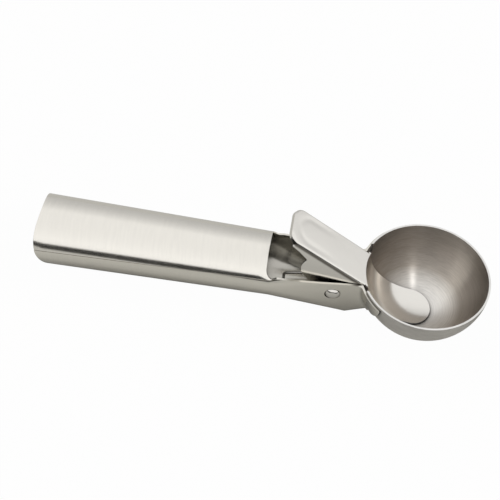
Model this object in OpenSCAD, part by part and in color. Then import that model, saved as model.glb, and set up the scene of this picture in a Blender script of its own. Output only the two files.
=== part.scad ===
/* [Bowl] */
// Outer radius of the bowl at its rim
bowl_rim_r = 29; // [28:0.1:30]
// Outer depth of the bowl below the rim
bowl_depth = 30.2; // [29.6:0.1:30.6]
// Thickness of the bowl's wall
bowl_wall = 0.85; // [0.8:0.05:1]
// Half the width of the notch in the rim behind the scraper
notch_half_w = 13.3; // [12.6:0.1:13.6]
// Depth of the notch below the rim
notch_depth = 7; // [6.5:0.1:8]

/* [Handle] */
// Radius of the lower shell at the rear end of the handle
grip_r_rear = 16.7; // [16.2:0.1:17]
// Radius of the lower shell where the neck begins
grip_r_front = 14.75; // [14.5:0.05:15]
// Height of the handle's centre line at its rear end
grip_z_rear = -6; // [-6.5:0.1:-5.9]
// Height of the handle's centre line where the neck begins
grip_z_front = -8.1; // [-8.4:0.1:-7.8]
// Distance from the rim's centre back to the end of the handle
handle_reach = 178.3; // [160:0.1:200]
// Thickness of the sheet of the frame and of the cover
sheet = 0.9; // [0.8:0.05:0.95]
// Height of the seam between the frame and the cover
seam_z = -2.9; // [-3.2:0.1:-2.6]

/* [Neck] */
// Half the width of the neck at the bowl
neck_half_w = 10.6; // [10.6:0.1:11]
// Height of the neck's upper edge
neck_top_z = -1.6; // [-1.8:0.1:-1.4]
// Height of the neck's underside at its lowest corner
neck_bottom_z = -25.4; // [-26:0.1:-25]
// How far round the bowl each cradle flange reaches, in degrees
cradle_reach = 50; // [46:1:52]

/* [Lever] */
// Half the width of the thumb lever over its ears
lever_half_w = 9.5; // [9:0.05:9.55]
// Length of the thumb pad from its front bend to its rear tip
pad_length = 40.8; // [40:0.1:43]
// Rise of the thumb pad towards the rear, in degrees
pad_rise = 36.6; // [35:0.5:38]
// Thickness of the lever's sheet
lever_sheet = 0.9; // [0.8:0.05:1]
// Distance from the rim's centre to the tip of the scraper tongue
tongue_reach = 6.9; // [5:0.1:9]

/* [Pivot] */
// Radius of the rivet's shank
rivet_r = 2.5; // [2.3:0.05:2.6]
// Radius of the rivet's head
rivet_head_r = 3.5; // [3.2:0.1:3.7]
// Diameter of the spring wire
wire_d = 1.3; // [1.2:0.05:1.35]

/* [Hidden] */

STEEL = [0.74, 0.74, 0.72];
BRIGHT_STEEL = [0.82, 0.82, 0.80];
SPRING_STEEL = [0.55, 0.55, 0.54];

// Clearances between neighbouring pieces
weld_gap = 0.04;
bore_gap = 0.05;
scrape_gap = 0.3;
eps = 0.01;

// Longer than anything that a cutting shape has to reach across
beyond = 3 * grip_r_rear;

// The bowl is a little more than half of a sphere
bowl_r = (bowl_rim_r * bowl_rim_r + bowl_depth * bowl_depth) / (2 * bowl_depth);
bowl_cz = bowl_r - bowl_depth;
rim_point = bowl_rim_r - bowl_wall / 2;

// The handle is a long cone lying on a slightly falling centre line
neck_x = -bowl_rim_r - 41;
tail_x = -handle_reach - 0.7 * grip_r_rear;
grip_len = norm([neck_x - tail_x, grip_z_rear - grip_z_front]);
grip_tilt = atan2(grip_z_rear - grip_z_front, neck_x - tail_x);

// The end of the handle is cut along a shallow arc, seen from the side
end_arc_r = 32;
end_arc_z = 0.4;

// The window between the cover and the thumb lever
window_x = -bowl_rim_r - 42.3;
window_r = 5;
step_rise = neck_top_z - seam_z;
step_r = (window_r * window_r + step_rise * step_rise) / (2 * step_rise);
step_turn = asin(window_r / step_r);
step_facets = 6;

// The cover's skirt inside the frame
skirt_depth = 3;
skirt_back = 1.5;

// The notch in the bowl's rim
notch_r = 3;
notch_ahead = bowl_rim_r / 2;

// The neck's last straight frame and its nose against the bowl
kink_x = -bowl_rim_r - 4.4;
nose_x = -bowl_rim_r + 8.7;
nose_bottom_z = -17.8;
neck_square_power = 9;
frame_sides = 80;
join_step = 0.02;

// The bend between the neck's walls and the cradle flanges
cradle_bend_r = 2.5;

// The pivot in the frame
pivot = [-bowl_rim_r - 11.4, 0, -9.3];
rivet_seat = 11.25;
rivet_seat_room = 0.2;

// The thumb pad: straight sides and two round corners at the rear
pad_front = [-bowl_rim_r + 0.3, 0, 0.26];
fold_r = 1.1;
lip_depth = 2.6;
pad_corner_r = 5;
pad_corner_y = lever_half_w - pad_corner_r;
pad_straight = pad_length - pad_corner_r;

// The ears and the scraper tongue
ear_front = 1.2;
ear_boss_r = 5;
ear_lobe_r = 9.4;
tongue_r = bowl_r - bowl_wall - scrape_gap;
tongue_half_w = lever_half_w - join_step;

// The rivet's domed heads
rivet_dome = 1.1;
dome_r = (rivet_head_r * rivet_head_r + rivet_dome * rivet_dome) / (2 * rivet_dome);

// The spring's coil and its two legs
coil_r = 3.6;
coil_pitch = 1.75;
coil_turns = 3;
coil_start_y = -2;
rear_leg_slope = 14.5;
hook_x = pivot.x - 23.4;
hook_end_z = -21.1;
upper_leg_len = 28.2;
upper_leg_lean = 20.5;

// ---------- shared shapes ----------

// A cone along the handle's centre line, shrunk by a given amount
module grip_cone(shrink) {
  translate([tail_x, 0, grip_z_rear])
    rotate([0, 90 + grip_tilt, 0])
      cylinder(h = grip_len, r1 = grip_r_rear - shrink, r2 = grip_r_front - shrink, $fn = 96);
}

// What is left of the handle ahead of its end
module handle_trim() {
  side_plate(-beyond, beyond) {
    translate([end_arc_r - handle_reach, end_arc_z])
      circle(end_arc_r, $fn = 180);
    translate([end_arc_r - handle_reach, -beyond])
      square([handle_reach, 2 * beyond]);
  }
}

// A profile seen from the side, drawn in x and z and given a width in y
module side_plate(y0, y1) {
  translate([0, y1, 0])
    rotate([90, 0, 0])
      linear_extrude(y1 - y0)
        children();
}

// ---------- frame ----------

// How far from the rear end to the neck a place on the handle is, from 0 to 1
function along_grip(x) = min(1, (x - tail_x) / (neck_x - tail_x));

// Radius and height of the handle's section at a place; both stay the same from the neck on
function grip_r(x) = grip_r_rear + (grip_r_front - grip_r_rear) * along_grip(x);
function grip_z(x) = grip_z_rear + (grip_z_front - grip_z_rear) * along_grip(x);

// How far along its change from round to square the neck is, from 0 to 1
function squareness(x) = min(1, max(0, (x - neck_x) / (kink_x - neck_x)));

// How far the neck's underside has risen ahead of its lowest corner
function nose_lift(x) =
  (nose_bottom_z - neck_bottom_z) * max(0, (x - kink_x) / (nose_x - kink_x));

// One point of the frame's section: a circle in the handle, nearly a square at the bowl
function frame_point(x, angle, shrink) =
  let (
    k = squareness(x),
    power = 2 / neck_square_power,
    c = cos(angle),
    d = sin(angle),
    round_r = grip_r(x) - shrink,
    square_y = (neck_half_w - shrink) * sign(c) * pow(abs(c), power),
    square_down = grip_z_front - neck_bottom_z - shrink - nose_lift(x),
    square_z = (d > 0 ? round_r : square_down) * sign(d) * pow(abs(d), power)
  )
  [x, (1 - k) * round_r * c + k * square_y, grip_z(x) + (1 - k) * round_r * d + k * square_z];

// The handle and the neck as one solid block, shrunk by a given amount
module frame_block(first_x, shrink) {
  stations = [first_x, neck_x, kink_x, nose_x];
  count = len(stations);
  points = [
    for (x = stations)
      for (j = [0 : frame_sides - 1])
        frame_point(x, 360 * j / frame_sides, shrink)
  ];
  sides = [
    for (i = [0 : count - 2])
      for (j = [0 : frame_sides - 1])
        let (n = (j + 1) % frame_sides, a = i * frame_sides, b = a + frame_sides)
        each [[a + j, b + j, b + n], [a + j, b + n, a + n]]
  ];
  rear_cap = [for (j = [0 : frame_sides - 1]) j];
  front_cap = [for (j = [frame_sides - 1 : -1 : 0]) (count - 1) * frame_sides + j];
  polyhedron(points, concat(sides, [rear_cap, front_cap]), convexity = 6);
}

// Everything above the frame's upper edge, which sweeps up from the seam to the neck
module above_frame() {
  sweep = [
    for (i = [0 : step_facets])
      let (angle = step_turn * i / step_facets)
      [window_x + step_r * sin(angle), seam_z + step_r * (1 - cos(angle))]
  ];
  side_plate(-beyond, beyond)
    polygon(concat([[tail_x, beyond], [tail_x, seam_z]], sweep, [[0, neck_top_z], [0, beyond]]));
}

// Outline of the cradle flanges seen from the side
module cradle_outline() {
  end_x = -(bowl_r + sheet) * cos(cradle_reach);
  polygon([
    [-bowl_rim_r - 2.4, -0.1],
    [end_x, -0.1],
    [end_x - 0.6, -6],
    [-bowl_rim_r + 6.4, -13.5],
    [-bowl_rim_r + 6.1, -19.5],
    [-bowl_rim_r - 2.4, -21.5]
  ]);
}

// Flat seats for the rivet's heads on the outside of the neck's walls
module rivet_seats() {
  for (side = [0, 1])
    mirror([0, side, 0])
      translate([pivot.x, -rivet_seat + weld_gap, pivot.z])
        rotate([90, 0, 0])
          cylinder(h = rivet_seat, r = rivet_head_r + rivet_seat_room, $fn = 48);
}

// The rounded inside corner where a wall of the neck turns out into its flange
module cradle_bend() {
  outer_r = bowl_r + weld_gap + sheet;
  ball_y = neck_half_w + cradle_bend_r;
  ball_r = sqrt(pow(outer_r + cradle_bend_r, 2) - ball_y * ball_y);
  on_ball = outer_r / (outer_r + cradle_bend_r);
  translate([0, 0, bowl_cz])
    rotate([90, 0, 0])
      rotate_extrude($fn = 128)
        difference() {
          polygon([
            [ball_r, neck_half_w],
            [ball_r * on_ball, ball_y * on_ball],
            [ball_r * on_ball - 1, ball_y * on_ball - 1],
            [ball_r * on_ball - 1, neck_half_w - 0.5],
            [ball_r, neck_half_w - 0.5]
          ]);
          translate([ball_r, ball_y])
            circle(cradle_bend_r, $fn = 64);
        }
}

// Two flanges of the frame that hug the bowl's outside
module cradle() {
  difference() {
    intersection() {
      translate([0, 0, bowl_cz])
        sphere(bowl_r + weld_gap + sheet, $fn = 128);
      side_plate(-beyond, beyond)
        cradle_outline();
    }
    translate([-beyond, -neck_half_w + sheet / 2, -beyond])
      cube([beyond, 2 * neck_half_w - sheet, 2 * beyond]);
  }
  for (side = [0, 1])
    mirror([0, side, 0])
      intersection() {
        cradle_bend();
        side_plate(-beyond, beyond)
          cradle_outline();
      }
}

module frame() {
  color(STEEL)
    difference() {
      union() {
        difference() {
          intersection() {
            frame_block(tail_x, 0);
            handle_trim();
          }
          frame_block(tail_x - 1, sheet);
        }
        cradle();
      }
      above_frame();
      translate([0, 0, bowl_cz])
        sphere(bowl_r + weld_gap, $fn = 128);
      translate([pivot.x, 0, pivot.z])
        rotate([90, 0, 0])
          cylinder(h = beyond, r = rivet_r + weld_gap, center = true, $fn = 48);
      rivet_seats();
    }
}

// ---------- cover of the handle ----------

// The part of the handle above the seam, ahead of which the window opens
module above_seam() {
  corner_z = seam_z + weld_gap + window_r;
  difference() {
    side_plate(-beyond, beyond)
      translate([tail_x, seam_z + weld_gap])
        square([window_x + window_r - tail_x, beyond]);
    side_plate(-beyond - 1, beyond + 1) {
      translate([window_x + window_r, corner_z])
        circle(window_r, $fn = 96);
      translate([window_x, corner_z])
        square([beyond, beyond]);
    }
  }
}

// The skirt by which the cover sits inside the frame
module cover_skirt() {
  side_plate(-beyond, beyond)
    translate([tail_x, seam_z - skirt_depth])
      square([window_x - skirt_back - tail_x, skirt_depth + weld_gap + eps]);
}

module grip_cover() {
  color(BRIGHT_STEEL)
    difference() {
      intersection() {
        grip_cone(sheet + weld_gap);
        handle_trim();
        union() {
          above_seam();
          cover_skirt();
        }
      }
      grip_cone(2 * sheet + weld_gap);
    }
}

// ---------- bowl ----------

// The notch in the rim, seen from the handle's end
module rim_notch() {
  translate([-beyond, 0, 0])
    rotate([90, 0, 90])
      linear_extrude(beyond - notch_ahead)
        hull() {
          for (side = [-1, 1])
            translate([side * (notch_half_w - notch_r), notch_r - notch_depth])
              circle(notch_r, $fn = 32);
          translate([-notch_half_w, 0])
            square([2 * notch_half_w, 5]);
        }
}

module bowl() {
  color(BRIGHT_STEEL)
    difference() {
      translate([0, 0, bowl_cz])
        sphere(bowl_r, $fn = 144);
      translate([0, 0, bowl_cz])
        sphere(bowl_r - bowl_wall, $fn = 144);
      translate([-beyond, -beyond, 0])
        cube([2 * beyond, 2 * beyond, beyond]);
      rim_notch();
    }
}

// ---------- thumb lever with its scraper ----------

// A point of the pad's side view: how far along it and how far above it
function on_pad(along, above) = [
  pad_front.x - along * cos(pad_rise) + above * sin(pad_rise),
  pad_front.z + along * sin(pad_rise) + above * cos(pad_rise)
];

// Places what is drawn flat, with the pad's front bend at the origin and its rear along -x
module on_pad_plane() {
  translate(pad_front)
    rotate([0, pad_rise, 0])
      children();
}

// Half of the section through the pad with its folded edge, out to a reach, less a given thickness
module pad_section(reach, shrink) {
  half_w = reach - shrink;
  r = fold_r - shrink;
  translate([0, -lip_depth - 2 * shrink])
    square([half_w, lip_depth + 2 * shrink - fold_r]);
  translate([0, -fold_r])
    square([half_w - r, r]);
  translate([half_w - r, -fold_r])
    circle(r, $fn = 48);
}

// The pad as a solid block with its round rear corners, less a given thickness
module pad_block(shrink, front) {
  for (side = [0, 1])
    mirror([0, side, 0])
      translate([-pad_straight, pad_corner_y, 0])
        rotate([0, 0, 90])
          rotate_extrude(angle = 90, $fn = 96)
            pad_section(pad_corner_r, shrink);
  translate([-pad_straight, -pad_corner_y, 0])
    rotate([90, 0, 180])
      linear_extrude(2 * pad_corner_y)
        pad_section(pad_corner_r, shrink);
  translate([-pad_straight, 0, 0])
    rotate([90, 0, 90])
      linear_extrude(pad_straight + front)
        for (side = [0, 1])
          mirror([side, 0])
            pad_section(lever_half_w, shrink);
}

// The pad with its folded edge, cut off ahead where the scraper turns down
module pad() {
  difference() {
    on_pad_plane()
      difference() {
        pad_block(0, 4);
        pad_block(lever_sheet, 6);
      }
    translate([0, 0, bowl_cz])
      sphere(tongue_r - lever_sheet, $fn = 144);
  }
}

// One ear in side view, from the pad's edge down round the pivot
module ear_outline() {
  intersection() {
    ear_blank();
    polygon([
      on_pad(-beyond, -fold_r),
      on_pad(2 * beyond, -fold_r),
      on_pad(2 * beyond, -2 * beyond),
      on_pad(-beyond, -2 * beyond)
    ]);
  }
}

// A point of the side view, counted from the pivot
function pivot_side(ahead, above) = [pivot.x + ahead, pivot.z + above];

// The ear before it is cut off along the pad
module ear_blank() {
  polygon([
    on_pad(ear_front, 0),
    on_pad(pad_straight - 0.5, 0),
    on_pad(pad_straight + 1.5, -fold_r - 2.5),
    pivot_side(-17.2, 25.6),
    pivot_side(-13.5, 20.7),
    pivot_side(-14.8, 10.3),
    pivot_side(-11.4, 4.9),
    pivot_side(-4, -4.7),
    pivot_side(3, -4.7),
    pivot_side(ear_boss_r, 0),
    pivot_side(9, 4.1)
  ]);
  translate(pivot_side(-6.3, 14.1))
    circle(ear_lobe_r, $fn = 96);
  translate([pivot.x, pivot.z])
    circle(ear_boss_r, $fn = 64);
}

// The scraper: a strip of a sphere that lies just inside the bowl, up to the pad
module tongue() {
  difference() {
    intersection() {
      translate([0, 0, bowl_cz])
        sphere(tongue_r, $fn = 144);
      translate([0, 0, -beyond])
        linear_extrude(2 * beyond) {
          translate([tongue_reach - tongue_half_w, 0])
            circle(tongue_half_w, $fn = 96);
          translate([-beyond, -tongue_half_w])
            square([beyond + tongue_reach - tongue_half_w, 2 * tongue_half_w]);
        }
      on_pad_plane()
        translate([-beyond, -beyond, -2 * beyond - join_step])
          cube([2 * beyond, 2 * beyond, 2 * beyond]);
    }
    translate([0, 0, bowl_cz])
      sphere(tongue_r - lever_sheet, $fn = 144);
  }
}

module thumb_lever() {
  color(BRIGHT_STEEL)
    difference() {
      union() {
        pad();
        for (side = [0, 1])
          mirror([0, side, 0])
            side_plate(lever_half_w - lever_sheet + join_step, lever_half_w - join_step)
              ear_outline();
        tongue();
      }
      translate([pivot.x, 0, pivot.z])
        rotate([90, 0, 0])
          cylinder(h = beyond, r = rivet_r + bore_gap, center = true, $fn = 48);
    }
}

// ---------- pivot rivet ----------

module rivet_head() {
  difference() {
    translate([0, 0, rivet_dome - dome_r])
      sphere(dome_r, $fn = 96);
    translate([-beyond, -beyond, -2 * beyond])
      cube([2 * beyond, 2 * beyond, 2 * beyond]);
  }
}

module pivot_rivet() {
  color(STEEL)
    translate([pivot.x, 0, pivot.z])
      rotate([90, 0, 0])
        union() {
          cylinder(h = 2 * rivet_seat + eps, r = rivet_r, center = true, $fn = 48);
          for (side = [0, 1])
            mirror([0, 0, side])
              translate([0, 0, rivet_seat])
                rivet_head();
        }
}

// ---------- return spring ----------

// Where the coil is at an angle, with its place along the rivet
function coil_point(angle, y) = [pivot.x + coil_r * cos(angle), y, pivot.z + coil_r * sin(angle)];

first_angle = 90 + rear_leg_slope;
last_angle = 180 + upper_leg_lean - 360 * (coil_turns + 1);
coil_steps = 8 * (coil_turns + 1);
coil_length = coil_pitch * (first_angle - last_angle) / 360;

coil_path = [
  for (i = [0 : coil_steps])
    coil_point(first_angle + (last_angle - first_angle) * i / coil_steps, coil_start_y + coil_length * i / coil_steps)
];

rear_top = coil_point(first_angle, coil_start_y);
hook_top = [hook_x, coil_start_y, rear_top.z - (rear_top.x - hook_x) * tan(rear_leg_slope)];
rear_leg = [
  [hook_x, coil_start_y, hook_end_z],
  [hook_x, coil_start_y, hook_top.z - wire_d],
  [hook_x + 0.3 * wire_d, coil_start_y, hook_top.z - 0.2 * wire_d],
  hook_top + wire_d * [cos(rear_leg_slope), 0, sin(rear_leg_slope)]
];

upper_start = coil_point(last_angle, coil_start_y + coil_length);
upper_leg = [
  upper_start + 0.97 * upper_leg_len * [-sin(upper_leg_lean), 0, cos(upper_leg_lean)],
  upper_start + upper_leg_len * [-sin(upper_leg_lean), 0, cos(upper_leg_lean)]
];

wire_path = concat(rear_leg, coil_path, upper_leg);
wire_sides = 6;

// The direction of the wire at one of its points
function wire_dir(i) =
  let (a = wire_path[max(i - 1, 0)], b = wire_path[min(i + 1, len(wire_path) - 1)])
  (b - a) / norm(b - a);

// One ring of the wire's skin; the wire never runs along y, so y gives the ring its turn
function wire_ring(i) =
  let (d = wire_dir(i), u = cross(d, [0, 1, 0]) / norm(cross(d, [0, 1, 0])), v = cross(d, u))
  [for (k = [0 : wire_sides - 1])
    wire_path[i] + wire_d / 2 * (cos(60 * k) * u + sin(60 * k) * v)];

module return_spring() {
  rings = len(wire_path);
  points = [for (i = [0 : rings - 1]) each wire_ring(i)];
  sides = [
    for (i = [0 : rings - 2])
      for (k = [0 : wire_sides - 1])
        let (n = (k + 1) % wire_sides)
        [i * wire_sides + k, i * wire_sides + n, (i + 1) * wire_sides + n, (i + 1) * wire_sides + k]
  ];
  start_cap = [[for (k = [wire_sides - 1 : -1 : 0]) k]];
  end_cap = [[for (k = [0 : wire_sides - 1]) (rings - 1) * wire_sides + k]];
  color(SPRING_STEEL)
    polyhedron(points, concat(sides, start_cap, end_cap), convexity = 10);
}

echo(least_gap_of_the_wire_to_itself = coil_pitch - wire_d);

// Puts the origin on the rim's face, at its point farthest from the handle
module from_rim() {
  translate([-rim_point, 0, 0])
    children();
}

from_rim() frame();
from_rim() grip_cover();
from_rim() bowl();
from_rim() thumb_lever();
from_rim() pivot_rivet();
from_rim() return_spring();
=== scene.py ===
"""Looks of the lever ice cream scoop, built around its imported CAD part."""

import math

import bpy
import numpy as np
from mathutils import Matrix, Vector


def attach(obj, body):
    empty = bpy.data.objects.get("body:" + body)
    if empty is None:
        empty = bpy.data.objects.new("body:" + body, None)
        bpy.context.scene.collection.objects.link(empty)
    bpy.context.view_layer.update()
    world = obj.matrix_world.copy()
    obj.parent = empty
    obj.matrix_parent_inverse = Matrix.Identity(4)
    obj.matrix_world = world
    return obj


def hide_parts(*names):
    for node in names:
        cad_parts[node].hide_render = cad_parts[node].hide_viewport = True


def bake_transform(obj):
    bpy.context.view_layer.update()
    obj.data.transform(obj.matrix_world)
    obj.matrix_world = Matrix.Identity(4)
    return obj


# ---------- the photograph's camera ----------
# The frame's origin is on the bowl's rim; most places below are counted from the rim's centre.
RIM_CENTRE = Vector((-0.028575, 0, 0))
LENS, SENSOR = 61.2, 36.0
CLIP_NEAR, CLIP_FAR = 0.01, 20
AZIMUTH, ELEVATION, ROLL = 7.1733, 53.5936, 2.4921
CAMERA_PLACE = RIM_CENTRE + Vector((-0.05161, -0.22938, 0.31298))


def camera_axes():
    """The camera's right, up and backward directions."""
    a, e, r = (math.radians(x) for x in (AZIMUTH, ELEVATION, ROLL))
    back = Vector((math.sin(a) * math.cos(e), -math.cos(a) * math.cos(e), math.sin(e)))
    level = Vector((0, 0, 1)).cross(back).normalized()
    upright = back.cross(level)
    right = math.cos(r) * level + math.sin(r) * upright
    up = -math.sin(r) * level + math.cos(r) * upright
    return right, up, back


def show(thing):
    bpy.context.scene.collection.objects.link(thing)


def make_camera():
    data = bpy.data.cameras.new("photo_camera")
    data.type = "PERSP"
    data.sensor_width = SENSOR
    data.lens = LENS
    data.clip_start, data.clip_end = CLIP_NEAR, CLIP_FAR
    camera = bpy.data.objects.new("photo_camera", data)
    turn = Matrix(camera_axes()).transposed().to_4x4()
    camera.matrix_world = Matrix.Translation(CAMERA_PLACE) @ turn
    show(camera)
    bpy.context.scene.camera = camera


# ---------- nodes ----------
# The colour mix node's sockets
MIX_A, MIX_B, MIX_RESULT = 6, 7, 2


def grey(level):
    return level, level, level


class Graph:
    """A node tree with short calls for making and joining nodes."""

    def __init__(self, tree):
        self.tree = tree
        tree.nodes.clear()

    def node(self, kind, settings=None, **inputs):
        made = self.tree.nodes.new(kind)
        for key, value in (settings or {}).items():
            setattr(made, key, value)
        for key, value in inputs.items():
            self.put(made.inputs[key.replace("_", " ")], value)
        return made

    def put(self, socket, value):
        if isinstance(value, bpy.types.NodeSocket):
            self.tree.links.new(value, socket)
        else:
            socket.default_value = value

    def math(self, operation, *values, clamp=False):
        made = self.node("ShaderNodeMath", {"operation": operation, "use_clamp": clamp})
        for socket, value in zip(made.inputs, values):
            self.put(socket, value)
        return made.outputs[0]

    def vector_math(self, operation, *values):
        made = self.node("ShaderNodeVectorMath", {"operation": operation})
        for socket, value in zip(made.inputs, values):
            self.put(socket, value)
        return made.outputs["Value" if operation in ("LENGTH", "DOT_PRODUCT") else "Vector"]

    def scaled(self, vector, factor):
        return self.node("ShaderNodeVectorMath", {"operation": "SCALE"}, Vector=vector, Scale=factor).outputs["Vector"]

    def ramp(self, factor, stops):
        made = self.node("ShaderNodeValToRGB")
        elements = made.color_ramp.elements
        while len(elements) < len(stops):
            elements.new(0.5)
        for element, (place, colour) in zip(elements, stops):
            element.position = place
            element.color = (*colour, 1)
        self.put(made.inputs[0], factor)
        return made.outputs[0]

    def map_range(self, value, from_low, from_high, to_low=0.0, to_high=1.0, curve="LINEAR"):
        return self.node("ShaderNodeMapRange", {"interpolation_type": curve}, Value=value, From_Min=from_low,
                         From_Max=from_high, To_Min=to_low, To_Max=to_high).outputs[0]

    def mix_colour(self, factor, a, b):
        """Colour a where the factor is 0 and b where it is 1; each is a socket or three numbers."""
        made = self.node("ShaderNodeMix", {"data_type": "RGBA"}, Factor=factor)
        for index, colour in ((MIX_A, a), (MIX_B, b)):
            self.put(made.inputs[index], (*colour, 1) if isinstance(colour, tuple) else colour)
        return made.outputs[MIX_RESULT]

    def place(self, counted_from=None):
        """The point of the surface, in metres in the frame or from another point."""
        here = self.node("ShaderNodeTexCoord").outputs["Object"]
        return here if counted_from is None else self.vector_math("SUBTRACT", here, tuple(counted_from))

    def parts(self, vector):
        return self.node("ShaderNodeSeparateXYZ", Vector=vector).outputs

    def facing(self, kind="True Normal"):
        return self.node("ShaderNodeNewGeometry").outputs[kind]

    def openness(self, reach):
        """1 on an open face, less where another surface is nearer than the reach."""
        return self.node("ShaderNodeAmbientOcclusion", {"samples": 8}, Distance=reach).outputs["AO"]

    def noise(self, place, scale, detail, roughness):
        return self.node("ShaderNodeTexNoise", Vector=place, Scale=scale, Detail=detail, Roughness=roughness).outputs[0]

    def finish(self, shader, kind="ShaderNodeOutputMaterial"):
        self.put(self.node(kind).inputs["Surface"], shader.outputs[0])


def new_material(name):
    material = bpy.data.materials.new(name)
    material.use_nodes = True
    return material, Graph(material.node_tree)


# ---------- the brushing ----------
# Where the grain runs round the X axis, along it, or round the bowl's axis
AROUND_HANDLE, ALONG_HANDLE, AROUND_BOWL = "around_handle", "along_handle", "around_bowl"
# How fast the grain changes along the brushing, as a share of how fast it does across it
ROUND_STRETCH, LONG_STRETCH, BOWL_STRETCH = 0.04, 0.03, 0.10


def grain_place(graph, run):
    """Coordinates in which the grain is fine across and long along the brushing, in metres."""
    if run == AROUND_HANDLE:
        return graph.vector_math("MULTIPLY", graph.place(), (1, ROUND_STRETCH, ROUND_STRETCH))
    if run == ALONG_HANDLE:
        return graph.vector_math("MULTIPLY", graph.place(), (LONG_STRETCH, 1, 1))
    x, y, z = graph.parts(graph.place(RIM_CENTRE))
    radius = graph.vector_math("LENGTH", graph.node("ShaderNodeCombineXYZ", X=x, Y=y).outputs[0])
    return graph.node("ShaderNodeCombineXYZ", X=radius, Y=z, Z=graph.math("MULTIPLY", x, BOWL_STRETCH)).outputs[0]


def across_grain(graph, run):
    """The direction across the brushing, along which mirror images smear."""
    if run == AROUND_HANDLE:
        return graph.node("ShaderNodeCombineXYZ", X=1.0, Y=0.0, Z=0.0).outputs[0]
    if run == ALONG_HANDLE:
        return graph.node("ShaderNodeCombineXYZ", X=0.0, Y=1.0, Z=0.0).outputs[0]
    flat = graph.vector_math("MULTIPLY", graph.place(RIM_CENTRE), (1, 1, 0))
    ring = graph.vector_math("CROSS_PRODUCT", (0, 0, 1), flat)
    return graph.vector_math("CROSS_PRODUCT", graph.facing("Normal"), ring)


# ---------- painted shade: places where the steel's colour is darkened ---
# The openness below which a crevice is darkest, and the share of the colour left there
CREVICE_CLOSED, CREVICE_DARK = 0.42, 0.16
# Inside the handle: how far the shade looks for walls, and the openness from darkest to plain
HOLLOW_REACH, HOLLOW_CLOSED, HOLLOW_OPEN, HOLLOW_DARK = 0.005, 0.35, 0.75, 0.45
HANDLE_AXIS_Z = -0.0074


def crevice_shade(graph, reach, open_from):
    """Painted shade: darker where another surface is closer than the reach."""
    return graph.map_range(graph.openness(reach), CREVICE_CLOSED, open_from, CREVICE_DARK, 1.0)


def inner_shade(graph, inside):
    """The share of the colour that painted shade leaves on faces that look towards the handle's centre line."""
    outwards = graph.vector_math("MULTIPLY", graph.place((0, 0, HANDLE_AXIS_Z)), (0, 1, 1))
    away = graph.math("GREATER_THAN", graph.vector_math("DOT_PRODUCT", outwards, graph.facing()), 0.0)
    dusk = graph.map_range(graph.openness(HOLLOW_REACH), HOLLOW_CLOSED, HOLLOW_OPEN, HOLLOW_DARK * inside, inside)
    return graph.node("ShaderNodeMix", {"data_type": "FLOAT"}, Factor=away, A=dusk, B=1.0).outputs[0]


# ---------- the lever's painted shadow under its folded edge, and its pressed line ---
PAD_FRONT = RIM_CENTRE + Vector((-0.0287, 0, 0.00026))
PAD_RISE = math.radians(36.6)
PAD_ALONG = (-math.cos(PAD_RISE), 0, math.sin(PAD_RISE))
PAD_UP = (math.sin(PAD_RISE), 0, math.cos(PAD_RISE))
PAD_TOP_FROM = -0.0004
# The line runs straight along the pad, fades in over a stretch and turns round a centre near the rear
LINE_ROUND_AT, LINE_ASIDE, LINE_WIDTH = 0.031, 0.0064, 0.0016
LINE_FADES_FROM, LINE_FADES_TO = 0.012, 0.030
# Painted shadow on the ears over this depth under the pad's folded edge, as shares of the depth and of the colour
FOLD_DEPTH = 0.005
FOLD_SHADE_STOPS = [(0.10, grey(1.0)), (0.24, (0.16, 0.15, 0.14)), (0.42, (0.30, 0.29, 0.28)), (0.62, grey(1.0))]
# How far a face looks sideways where the ear begins and where it is flat
EAR_FROM, EAR_FLAT = 0.6, 0.9


def fold_shade(graph):
    """Painted shadow: darker on the ears just under the pad's folded edge."""
    above = graph.vector_math("DOT_PRODUCT", graph.place(PAD_FRONT), PAD_UP)
    aside = graph.math("ABSOLUTE", graph.parts(graph.facing())["Y"])
    on_ear = graph.map_range(aside, EAR_FROM, EAR_FLAT)
    shade = graph.ramp(graph.math("MULTIPLY", above, -1 / FOLD_DEPTH), FOLD_SHADE_STOPS)
    return graph.mix_colour(on_ear, grey(1), shade)


def pad_groove(graph):
    """The height of the pad's pressed line that runs inside its round rear edge, -1 at its bottom."""
    place = graph.place(PAD_FRONT)
    along = graph.vector_math("DOT_PRODUCT", place, PAD_ALONG)
    above = graph.vector_math("DOT_PRODUCT", place, PAD_UP)
    behind = graph.math("MAXIMUM", graph.math("SUBTRACT", along, LINE_ROUND_AT), 0.0)
    across = graph.node("ShaderNodeCombineXYZ", X=behind, Y=graph.parts(place)["Y"]).outputs[0]
    reach = graph.vector_math("LENGTH", across)
    off_line = graph.math("DIVIDE", graph.math("SUBTRACT", reach, LINE_ASIDE), LINE_WIDTH)
    groove = graph.math("EXPONENT", graph.math("MULTIPLY", graph.math("MULTIPLY", off_line, off_line), -1.0))
    rear_only = graph.map_range(along, LINE_FADES_FROM, LINE_FADES_TO, curve="SMOOTHSTEP")
    on_top = graph.math("GREATER_THAN", above, PAD_TOP_FROM)
    return graph.math("MULTIPLY", graph.math("MULTIPLY", graph.math("MULTIPLY", groove, -1.0), rear_only), on_top)


# ---------- colours ----------
BOWL_CENTRE = RIM_CENTRE + Vector((0, 0, -0.00118))
BOWL_R, BOWL_WALL_MIDDLE_R, RIM_FROM = 0.029, 0.0286, 0.00112
# Painted shade and highlight inside the bowl, from the rim's height at 0 down to the bottom at 1: darker high up, a
# painted highlight at the bottom
BOWL_PAINTED_DEPTH_STOPS = [(0.0, (0.36, 0.33, 0.30)), (0.45, (0.44, 0.40, 0.36)), (0.68, (0.46, 0.42, 0.375)),
                    (0.85, (0.84, 0.815, 0.775)), (0.95, (0.95, 0.93, 0.90))]
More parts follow.
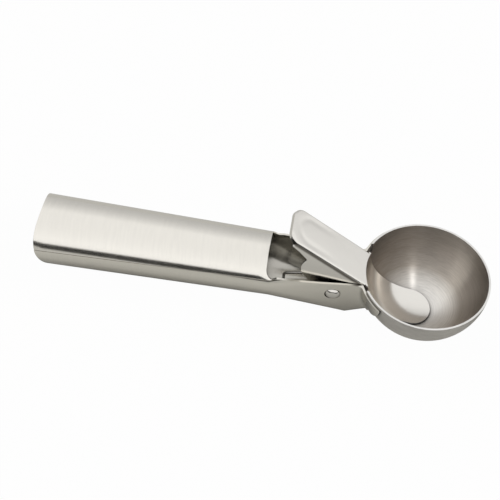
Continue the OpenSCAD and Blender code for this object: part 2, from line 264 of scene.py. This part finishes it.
# Painted shade and highlight inside the bowl, from the handle's side at 0 to the far side at 1: darker on the handle's
# side, a painted highlight band towards the far side
BOWL_PAINTED_FAN_STOPS = [(0.0, (0.57, 0.56, 0.55)), (0.35, (0.63, 0.62, 0.61)), (0.55, grey(0.76)), (0.78, grey(1.0)),
                  (1.0, grey(0.72))]
BOWL_PAINTED_FAN_GAIN = 1.22
BOWL_OUTSIDE, BOWL_RIM = (0.62, 0.60, 0.565), (0.95, 0.94, 0.92)
# The grain's tones in which its colours change
TONE_LOW, TONE_HIGH = 0.3, 0.7
BOWL_STREAK_LOW, BOWL_STREAK_HIGH = 0.80, 1.16


def plain_tint(colour, wear=0.03):
    """A colour that the grain makes a little darker and lighter."""
    low = tuple(c * (1 - wear) for c in colour)
    high = tuple(min(1, c * (1 + wear)) for c in colour)
    return lambda graph, tone: graph.ramp(tone, [(TONE_LOW, low), (TONE_HIGH, high)])


def bowl_tint_with_painted_light(graph, tone):
    """The bowl's colours: painted shade inside towards the rim and on the handle's side, painted highlights at the
    bottom and in a band towards the far side, bright on the rim.
    """
    from_centre = graph.place(BOWL_CENTRE)
    towards_far_side, _, height = graph.parts(from_centre)
    depth_colour = graph.ramp(graph.math("MULTIPLY", height, -1 / BOWL_R), BOWL_PAINTED_DEPTH_STOPS)
    fan = graph.ramp(graph.math("MULTIPLY_ADD", towards_far_side, 1 / (2 * BOWL_R), 0.5), BOWL_PAINTED_FAN_STOPS)
    inside = graph.scaled(graph.vector_math("MULTIPLY", depth_colour, fan), BOWL_PAINTED_FAN_GAIN)
    is_outside = graph.math("GREATER_THAN", graph.vector_math("LENGTH", from_centre), BOWL_WALL_MIDDLE_R)
    shell = graph.mix_colour(is_outside, inside, BOWL_OUTSIDE)
    whole = graph.mix_colour(graph.math("GREATER_THAN", height, RIM_FROM), shell, BOWL_RIM)
    return graph.scaled(whole, graph.map_range(tone, TONE_LOW, TONE_HIGH, BOWL_STREAK_LOW, BOWL_STREAK_HIGH))


# ---------- brushed steel ----------
CLOUD_SCALE = 70.0
COARSE_SHARE_OF_SCALE = 1 / 6
FINE_WEIGHT, COARSE_WEIGHT, CLOUD_WEIGHT = 0.6, 0.2, 0.2
ROUGHNESS_LOW, ROUGHNESS_HIGH = 0.88, 1.12
GRAIN_RELIEF = 0.0001


def brushed_steel(name, tint, roughness, run, anisotropic=0.6, grain=2500, depth=0.02, groove=0.0, inside=1.0,
                  crevice=0.0018, open_from=0.82):
    """Brushed stainless steel whose grain runs as told."""
    material, graph = new_material(name)
    along_grain = grain_place(graph, run)
    fine = graph.noise(along_grain, grain, 3.0, 0.6)
    coarse = graph.noise(along_grain, grain * COARSE_SHARE_OF_SCALE, 2.0, 0.5)
    cloud = graph.noise(graph.place(), CLOUD_SCALE, 3.0, 0.6)
    fine_part, coarse_part, cloud_part = (
        graph.math("MULTIPLY", part, weight)
        for part, weight in ((fine, FINE_WEIGHT), (coarse, COARSE_WEIGHT), (cloud, CLOUD_WEIGHT)))
    base = tint(graph, graph.math("ADD", graph.math("ADD", fine_part, coarse_part), cloud_part))
    # Painted shade in the base colour: on faces inside the handle and in crevices
    if inside != 1.0:
        base = graph.scaled(base, inner_shade(graph, inside))
    base = graph.scaled(base, crevice_shade(graph, crevice, open_from))
    bump = graph.node("ShaderNodeBump", Height=fine, Strength=depth, Distance=GRAIN_RELIEF).outputs[0]
    # With a groove, the lever also gets the painted shadow under its folded edge
    if groove:
        base = graph.vector_math("MULTIPLY", base, fold_shade(graph))
        bump = graph.node("ShaderNodeBump", Height=pad_groove(graph), Strength=1.0, Distance=groove,
                          Normal=bump).outputs[0]
    rough = graph.map_range(cloud, TONE_LOW, TONE_HIGH, roughness * ROUGHNESS_LOW, roughness * ROUGHNESS_HIGH)
    graph.finish(graph.node("ShaderNodeBsdfPrincipled", Base_Color=base, Metallic=1.0, Roughness=rough, Normal=bump,
                            Tangent=across_grain(graph, run), Anisotropic=anisotropic))
    return material


# ---------- the floor touches the bowl's bottom and the handle's end ----------
BOWL_BOTTOM = RIM_CENTRE + Vector((0, 0, -0.0303))
HANDLE_HEEL = RIM_CENTRE + Vector((-0.174, 0, -0.0229))
FLOOR_ALONG = (BOWL_BOTTOM - HANDLE_HEEL).normalized()
FLOOR_UP = FLOOR_ALONG.cross(Vector((0, 1, 0))).normalized()
FLOOR_HALF = 6.0
# Half the width of the painted shadow on the floor under the tool, and its colours from the middle outwards
FLOOR_SHADOW_WIDTH = 0.050
FLOOR_SHADOW_STOPS = [(0.22, (0.27, 0.265, 0.25)), (0.36, (0.36, 0.355, 0.335)), (0.5, (0.50, 0.495, 0.47)),
               (0.75, (0.56, 0.555, 0.53))]
# How white the floor is to the camera, and how much of that white mirror images show
WHITE_TO_CAMERA, WHITE_IN_MIRRORS = 0.98, 0.04


def floor_point(along, across, above=0.0):
    """A point of the floor, counted from under the bowl."""
    return BOWL_BOTTOM + FLOOR_ALONG * along + Vector((0, across, 0)) + FLOOR_UP * above


def make_sheet(name, corners, material):
    """A four-cornered sheet of the studio."""
    mesh = bpy.data.meshes.new(name)
    mesh.from_pydata(corners, [], [(0, 1, 2, 3)])
    mesh.materials.append(material)
    sheet = bpy.data.objects.new(name, mesh)
    show(sheet)
    return sheet


def whitening(graph):
    """The share of plain white that a ray sees: nearly all for the camera, little for a mirror image."""
    rays = graph.node("ShaderNodeLightPath").outputs
    glossy = graph.math("MULTIPLY", rays["Is Glossy Ray"], WHITE_IN_MIRRORS)
    seen = graph.math("ADD", graph.math("MULTIPLY", rays["Is Camera Ray"], WHITE_TO_CAMERA), glossy)
    return graph.math("ADD", seen, rays["Is Transmission Ray"], clamp=True)


def make_floor():
    material, graph = new_material("pale_floor")
    # Painted shadow under the tool in the floor's colour, which mirror images show most
    aside = graph.math("ABSOLUTE", graph.parts(graph.place())["Y"])
    colour = graph.ramp(graph.math("MULTIPLY", aside, 1 / FLOOR_SHADOW_WIDTH), FLOOR_SHADOW_STOPS)
    diffuse = graph.node("ShaderNodeBsdfDiffuse", Color=colour)
    white = graph.node("ShaderNodeEmission", Color=(1, 1, 1, 1), Strength=1.0)
    mixed = graph.node("ShaderNodeMixShader", Fac=whitening(graph))
    graph.put(mixed.inputs[1], diffuse.outputs[0])
    graph.put(mixed.inputs[2], white.outputs[0])
    graph.finish(mixed)
    signs = ((-1, -1), (1, -1), (1, 1), (-1, 1))
    make_sheet("floor", [floor_point(a * FLOOR_HALF, b * FLOOR_HALF) for a, b in signs], material)


# ---------- the light ----------
LIGHT_LEVEL, NEAR_LIFT = 0.90, 0.16
FAR_DIM_FROM, FAR_DIM = 0.45, 0.70
LIGHT_COLOUR = (1.0, 0.995, 0.985)
# Dark cards on the camera's side, counted along and across the floor, which give the dark band along the handle
CARD_COLOUR = (0.03, 0.03, 0.028)
CARD_LEFT, CARD_RIGHT, CARD_NEAR, CARD_FAR = -0.9, 0.7, -0.075, -1.2
CARD_LIFT, WALL_TOP = 0.001, 0.032
STREAK_FROM, STREAK_SIDE, STREAK_POWER = Vector((0.18, -0.30, 0.48)), 0.09, 0.20


def make_world():
    """A wide soft light: a little brighter low on the near side, dimmer low on the far side."""
    world = bpy.data.worlds.new("studio")
    bpy.context.scene.world = world
    world.use_nodes = True
    graph = Graph(world.node_tree)
    _, y, z = graph.parts(graph.node("ShaderNodeTexCoord").outputs["Generated"])
    near = graph.math("MAXIMUM", graph.math("MULTIPLY", y, -1.0), 0.0)
    lift = graph.math("MULTIPLY", graph.math("MULTIPLY", near, graph.math("SUBTRACT", 1.0, z)), NEAR_LIFT)
    far = graph.math("MULTIPLY", graph.math("MAXIMUM", graph.math("SUBTRACT", y, FAR_DIM_FROM), 0.0), FAR_DIM)
    level = graph.math("SUBTRACT", graph.math("ADD", LIGHT_LEVEL, lift), far)
    colour = graph.ramp(level, [(0.0, grey(0.0)), (1.0, LIGHT_COLOUR)])
    graph.finish(graph.node("ShaderNodeBackground", Color=colour, Strength=1.0), "ShaderNodeOutputWorld")


def make_card(name, corners):
    """A dark studio card that only mirror images show."""
    material, graph = new_material(name)
    graph.finish(graph.node("ShaderNodeBsdfDiffuse", Color=(*CARD_COLOUR, 1)))
    card = make_sheet(name, corners, material)
    card.visible_camera = False
    card.visible_shadow = False
    card.visible_diffuse = False


def make_streak_lamp():
    """The small lamp whose mirror image is the streak in the bowl; it lights the bowl alone."""
    data = bpy.data.lights.new("streak_lamp", "AREA")
    data.shape = "RECTANGLE"
    data.size = data.size_y = STREAK_SIDE
    data.energy = STREAK_POWER
    lamp = bpy.data.objects.new("streak_lamp", data)
    lamp.location = RIM_CENTRE + STREAK_FROM
    lamp.rotation_mode = "QUATERNION"
    lamp.rotation_quaternion = (RIM_CENTRE - lamp.location).to_track_quat("-Z", "Y")
    show(lamp)
    lit = bpy.data.collections.new("lit_by_streak_lamp")
    lit.objects.link(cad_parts["bowl"])
    lamp.light_linking.receiver_collection = lit


def make_studio():
    make_world()
    make_floor()
    table = ((CARD_LEFT, CARD_FAR), (CARD_RIGHT, CARD_FAR), (CARD_RIGHT, CARD_NEAR), (CARD_LEFT, CARD_NEAR))
    make_card("dark_table", [floor_point(along, across, CARD_LIFT) for along, across in table])
    make_card("dark_wall", [floor_point(CARD_LEFT, CARD_FAR), floor_point(CARD_RIGHT, CARD_FAR),
                            floor_point(CARD_RIGHT, CARD_FAR, WALL_TOP), floor_point(CARD_LEFT, CARD_FAR, WALL_TOP)])
    make_streak_lamp()


# ---------- pieces made here, in millimetres from the rim's centre ----------
MM = 0.001


def from_rim_mm(point):
    """A point in millimetres from the rim's centre, in the frame's metres."""
    return RIM_CENTRE + Vector(point) * MM


def smooth_piece(name, points, faces):
    """A smoothly shaded mesh through points in millimetres from the rim's centre."""
    mesh = bpy.data.meshes.new(name)
    mesh.from_pydata([from_rim_mm(p) for p in points], [], faces)
    mesh.shade_smooth()
    piece = bpy.data.objects.new(name, mesh)
    show(piece)
    return piece


def grid_faces(rows, wide):
    return [(i * wide + j, i * wide + j + 1, (i + 1) * wide + j + 1, (i + 1) * wide + j)
            for i in range(rows - 1) for j in range(wide - 1)]


def grid_piece(name, rows):
    """A piece through rows of points of equal length."""
    return smooth_piece(name, [p for row in rows for p in row], grid_faces(len(rows), len(rows[0])))


# ---------- the handle's cover ----------
GRIP_NECK_X, GRIP_TAIL_X = -70.0, -190.0
GRIP_FRONT_R, GRIP_REAR_R = 14.75, 16.7
GRIP_FRONT_Z, GRIP_REAR_Z = -8.1, -6.0
SEAM_Z = -2.86
WINDOW_X, WINDOW_R = -71.3, 5.0
END_ARC_X, END_ARC_Z, END_ARC_R = -146.3, 0.4, 32.0
COVER_INSET, COVER_REAR_INSET = 0.16, 0.03
COVER_SHEET, COVER_EDGE, COVER_EDGE_ABOVE = 0.8, 0.14, 50
COVER_ROWS, COVER_STEPS = 121, 25
# How much the rows of points widen towards the top of the cover
TOP_SHARE = 0.25
EDGE_TRIES = 6


def grip_section(x):
    """The radius and the centre's height of the handle at a place along it."""
    share = (x - GRIP_TAIL_X) / (GRIP_NECK_X - GRIP_TAIL_X)
    radius = GRIP_REAR_R + (GRIP_FRONT_R - GRIP_REAR_R) * share
    return radius, GRIP_REAR_Z + (GRIP_FRONT_Z - GRIP_REAR_Z) * share


def on_cover(x, turn):
    """A point of the cover's outside, with turn from -1 at one seam to 1 at the other."""
    radius, centre_z = grip_section(x)
    radius -= COVER_INSET
    angle = turn * math.acos((SEAM_Z - centre_z) / radius)
    return x, radius * math.sin(angle), centre_z + radius * math.cos(angle)


def cover_front_x(z):
    """The front edge at a height: straight above the window's round lower corner."""
    corner_z = SEAM_Z + WINDOW_R
    if z >= corner_z:
        return WINDOW_X
    return WINDOW_X + WINDOW_R - math.sqrt(max(0, WINDOW_R ** 2 - (z - corner_z) ** 2))


def cover_rear_x(z):
    """The rear edge at a height, on the arc of the handle's end."""
    return END_ARC_X + COVER_REAR_INSET - math.sqrt(END_ARC_R ** 2 - (z - END_ARC_Z) ** 2)


def edge_x(edge, start, turn):
    """Where the edge of the cover lies at a turn."""
    x = start
    for _ in range(EDGE_TRIES):
        x = edge(on_cover(x, turn)[2])
    return x


def make_cover():
    """The cover with the window's round corners and softly broken edges."""
    turns = [math.sin(math.pi / 2 * t) * TOP_SHARE + t * (1 - TOP_SHARE) for t in np.linspace(-1, 1, COVER_ROWS)]
    rows = []
    for turn in turns:
        rear = edge_x(cover_rear_x, END_ARC_X - END_ARC_R, turn)
        front = edge_x(cover_front_x, WINDOW_X, turn)
        rows.append([on_cover(rear + (front - rear) * share, turn) for share in np.linspace(0, 1, COVER_STEPS)])
    cover = grid_piece("handle_cover", rows)
    shell = cover.modifiers.new("sheet", "SOLIDIFY")
    shell.thickness = COVER_SHEET * MM
    shell.offset = -1
    edge = cover.modifiers.new("broken_edge", "BEVEL")
    edge.width = COVER_EDGE * MM
    edge.segments = 2
    edge.limit_method = "ANGLE"
    edge.angle_limit = math.radians(COVER_EDGE_ABOVE)
    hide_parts("grip_cover")
    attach(cover, "scoop")
    return cover


# ---------- the cross rivet ----------
PIVOT_X, PIVOT_Z = -40.4, -9.3
# Half of the rivet's outline: distance out from the middle of the tool, and radius
RIVET_OUTLINE = [(12.52, 0.0), (12.50, 1.3), (12.42, 2.0), (12.30, 2.35), (12.08, 2.72), (11.80, 3.12), (11.56, 3.40),
                 (11.42, 3.48), (11.26, 3.5), (11.255, 2.49), (0.0, 2.49)]
RIVET_STEPS = 64
SEAM_GAP = 1e-6


def make_rivet():
    """The cross rivet with its two flat-topped domed heads."""
    outline = RIVET_OUTLINE + [(-out, radius) for out, radius in reversed(RIVET_OUTLINE[:-1])]
    rows = [[(PIVOT_X + radius * math.cos(t), -out, PIVOT_Z + radius * math.sin(t)) for out, radius in outline]
            for t in np.linspace(0, 2 * math.pi, RIVET_STEPS + 1)]
    rivet = grid_piece("rivet", rows)
    weld = rivet.modifiers.new("close_seam", "WELD")
    weld.merge_threshold = SEAM_GAP
    rivet.modifiers.new("smooth_facets", "NODES").node_group = smoothing
    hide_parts("pivot_rivet")
    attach(rivet, "scoop")
    return rivet


# ---------- the return spring ----------
WIRE_R, WIRE_SIDES = 0.65, 14
COIL_R, COIL_PITCH, COIL_TURNS, COIL_START_Y, COIL_STEPS = 3.6, 1.75, 4, -2.0, 28
REAR_LEG_SLOPE, UPPER_LEG_LEAN, UPPER_LEG_LEN, UPPER_LEG_STEPS = 14.5, 20.5, 28.2, 24
HOOK_X, HOOK_END_Z, HOOK_BEND, HOOK_STEPS = -63.8, -21.1, 1.3, 8


def coil_point(angle_degrees, y):
    angle = math.radians(angle_degrees)
    return np.array([PIVOT_X + COIL_R * math.cos(angle), y, PIVOT_Z + COIL_R * math.sin(angle)])


def coil_path():
    """The coil, which leaves out the part of its last turn between the two legs."""
    first, last = 90 + REAR_LEG_SLOPE, 180 + UPPER_LEG_LEAN - 360 * COIL_TURNS
    length = COIL_PITCH * (first - last) / 360
    return [coil_point(first + (last - first) * t, COIL_START_Y + length * t)
            for t in np.linspace(0, 1, COIL_STEPS * COIL_TURNS + 1)]


def wire_path():
    """The middle line of the spring's wire, from the hook's end over the coil to the upper leg's end."""
    coil = coil_path()
    slope, lean = math.radians(REAR_LEG_SLOPE), math.radians(UPPER_LEG_LEAN)
    leg_way = np.array([math.cos(slope), 0, math.sin(slope)])
    up_way = np.array([-math.sin(lean), 0, math.cos(lean)])
    corner = np.array([HOOK_X, COIL_START_Y, coil[0][2] - (coil[0][0] - HOOK_X) * math.tan(slope)])
    below, beside = corner + np.array([0, 0, -HOOK_BEND]), corner + HOOK_BEND * leg_way
    bend = [(1 - t) ** 2 * below + 2 * t * (1 - t) * corner + t * t * beside
            for t in np.linspace(0, 1, HOOK_STEPS + 1)]
    upper = [coil[-1] + UPPER_LEG_LEN * t * up_way for t in np.linspace(0, 1, UPPER_LEG_STEPS + 1)[1:]]
    return [np.array([HOOK_X, COIL_START_Y, HOOK_END_Z])] + bend + coil + upper


def wire_ring(path, i):
    """The points round the wire at one point of its path."""
    way = path[min(i + 1, len(path) - 1)] - path[max(i - 1, 0)]
    way /= np.linalg.norm(way)
    u = np.cross(way, [0, 1, 0])
    u /= np.linalg.norm(u)
    v = np.cross(way, u)
    turns = [2 * math.pi * k / WIRE_SIDES for k in range(WIRE_SIDES)]
    return [path[i] + WIRE_R * (math.cos(t) * u + math.sin(t) * v) for t in turns]


def make_spring():
    """The return spring as round wire, with a hooked rear leg, the coil and an upper leg."""
    path = wire_path()
    points = [point for i in range(len(path)) for point in wire_ring(path, i)]
    faces = []
    for start in range(0, len(points) - WIRE_SIDES, WIRE_SIDES):
        for k in range(WIRE_SIDES):
            a, b = start + k, start + (k + 1) % WIRE_SIDES
            faces.append((a, b, b + WIRE_SIDES, a + WIRE_SIDES))
    last = len(points) - WIRE_SIDES
    faces += [tuple(range(WIRE_SIDES))[::-1], tuple(last + k for k in range(WIRE_SIDES))]
    spring = smooth_piece("spring_wire", points, faces)
    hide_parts("return_spring")
    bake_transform(spring)
    return spring


# ---------- smooth shading of the CAD's facets ----------
CRISP_ABOVE = 24
SAME_POINT = 1e-6


def smooth_by_angle(limit_degrees):
    """A node group that shades facets smoothly and keeps edges above an angle crisp."""
    group = bpy.data.node_groups.new("smooth_by_angle", "GeometryNodeTree")
    for way in ("INPUT", "OUTPUT"):
        group.interface.new_socket("Geometry", in_out=way, socket_type="NodeSocketGeometry")
    graph = Graph(group)
    start = graph.node("NodeGroupInput")
    merged = graph.node("GeometryNodeMergeByDistance", Geometry=start.outputs[0], Distance=SAME_POINT)
    plain = graph.node("GeometryNodeRemoveAttribute", Geometry=merged.outputs[0], Name="custom_normal")
    soft = graph.node("GeometryNodeSetShadeSmooth", {"domain": "FACE"}, Geometry=plain.outputs[0], Shade_Smooth=True)
    angle = graph.node("GeometryNodeInputMeshEdgeAngle").outputs["Unsigned Angle"]
    flat_enough = graph.node("FunctionNodeCompare", {"data_type": "FLOAT", "operation": "LESS_EQUAL"})
    graph.put(flat_enough.inputs[0], angle)
    graph.put(flat_enough.inputs[1], math.radians(limit_degrees))
    crisp = graph.node("GeometryNodeSetShadeSmooth", {"domain": "EDGE"}, Geometry=soft.outputs[0],
                       Shade_Smooth=flat_enough.outputs[0])
    graph.put(graph.node("NodeGroupOutput").inputs[0], crisp.outputs[0])
    return group


# ---------- materials ----------
def dress(node, material):
    """Smooths a CAD piece and gives it a material."""
    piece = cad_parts[node]
    piece.modifiers.new("smooth_facets", "NODES").node_group = smoothing
    for slot in piece.material_slots:
        slot.material = material
    if not piece.material_slots:
        piece.data.materials.append(material)


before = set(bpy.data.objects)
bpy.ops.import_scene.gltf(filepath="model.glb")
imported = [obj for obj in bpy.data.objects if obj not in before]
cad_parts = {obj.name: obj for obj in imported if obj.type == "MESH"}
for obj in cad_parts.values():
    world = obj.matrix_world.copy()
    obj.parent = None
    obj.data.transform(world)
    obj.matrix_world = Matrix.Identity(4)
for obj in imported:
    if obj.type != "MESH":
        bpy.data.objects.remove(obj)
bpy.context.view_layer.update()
smoothing = smooth_by_angle(CRISP_ABOVE)
make_camera()
make_studio()

dress("frame", brushed_steel("frame_steel_look", plain_tint((0.85, 0.825, 0.76)), 0.2, AROUND_HANDLE, inside=0.62))
cover = make_cover()
cover.data.materials.append(brushed_steel("cover_steel_look", plain_tint((0.90, 0.875, 0.82), wear=0.045), 0.20,
                                          AROUND_HANDLE, grain=4000))
dress("bowl", brushed_steel("bowl_steel_look", bowl_tint_with_painted_light, 0.34, AROUND_BOWL, anisotropic=0.88, grain=2600, depth=0.06,
                            crevice=0.0035, open_from=0.93))
dress("thumb_lever", brushed_steel("lever_steel_look", plain_tint((0.86, 0.84, 0.80)), 0.16, ALONG_HANDLE,
                                   anisotropic=0.3, depth=0.01, groove=0.00026))
rivet = make_rivet()
rivet.data.materials.append(brushed_steel("rivet_steel_look", plain_tint((0.80, 0.78, 0.74)), 0.14, AROUND_HANDLE,
                                          anisotropic=0.2))
spring = make_spring()
spring.data.materials.append(brushed_steel("spring_wire_look", plain_tint((0.40, 0.385, 0.36)), 0.3, AROUND_HANDLE))

bpy.context.scene.view_settings.view_transform = "Standard"
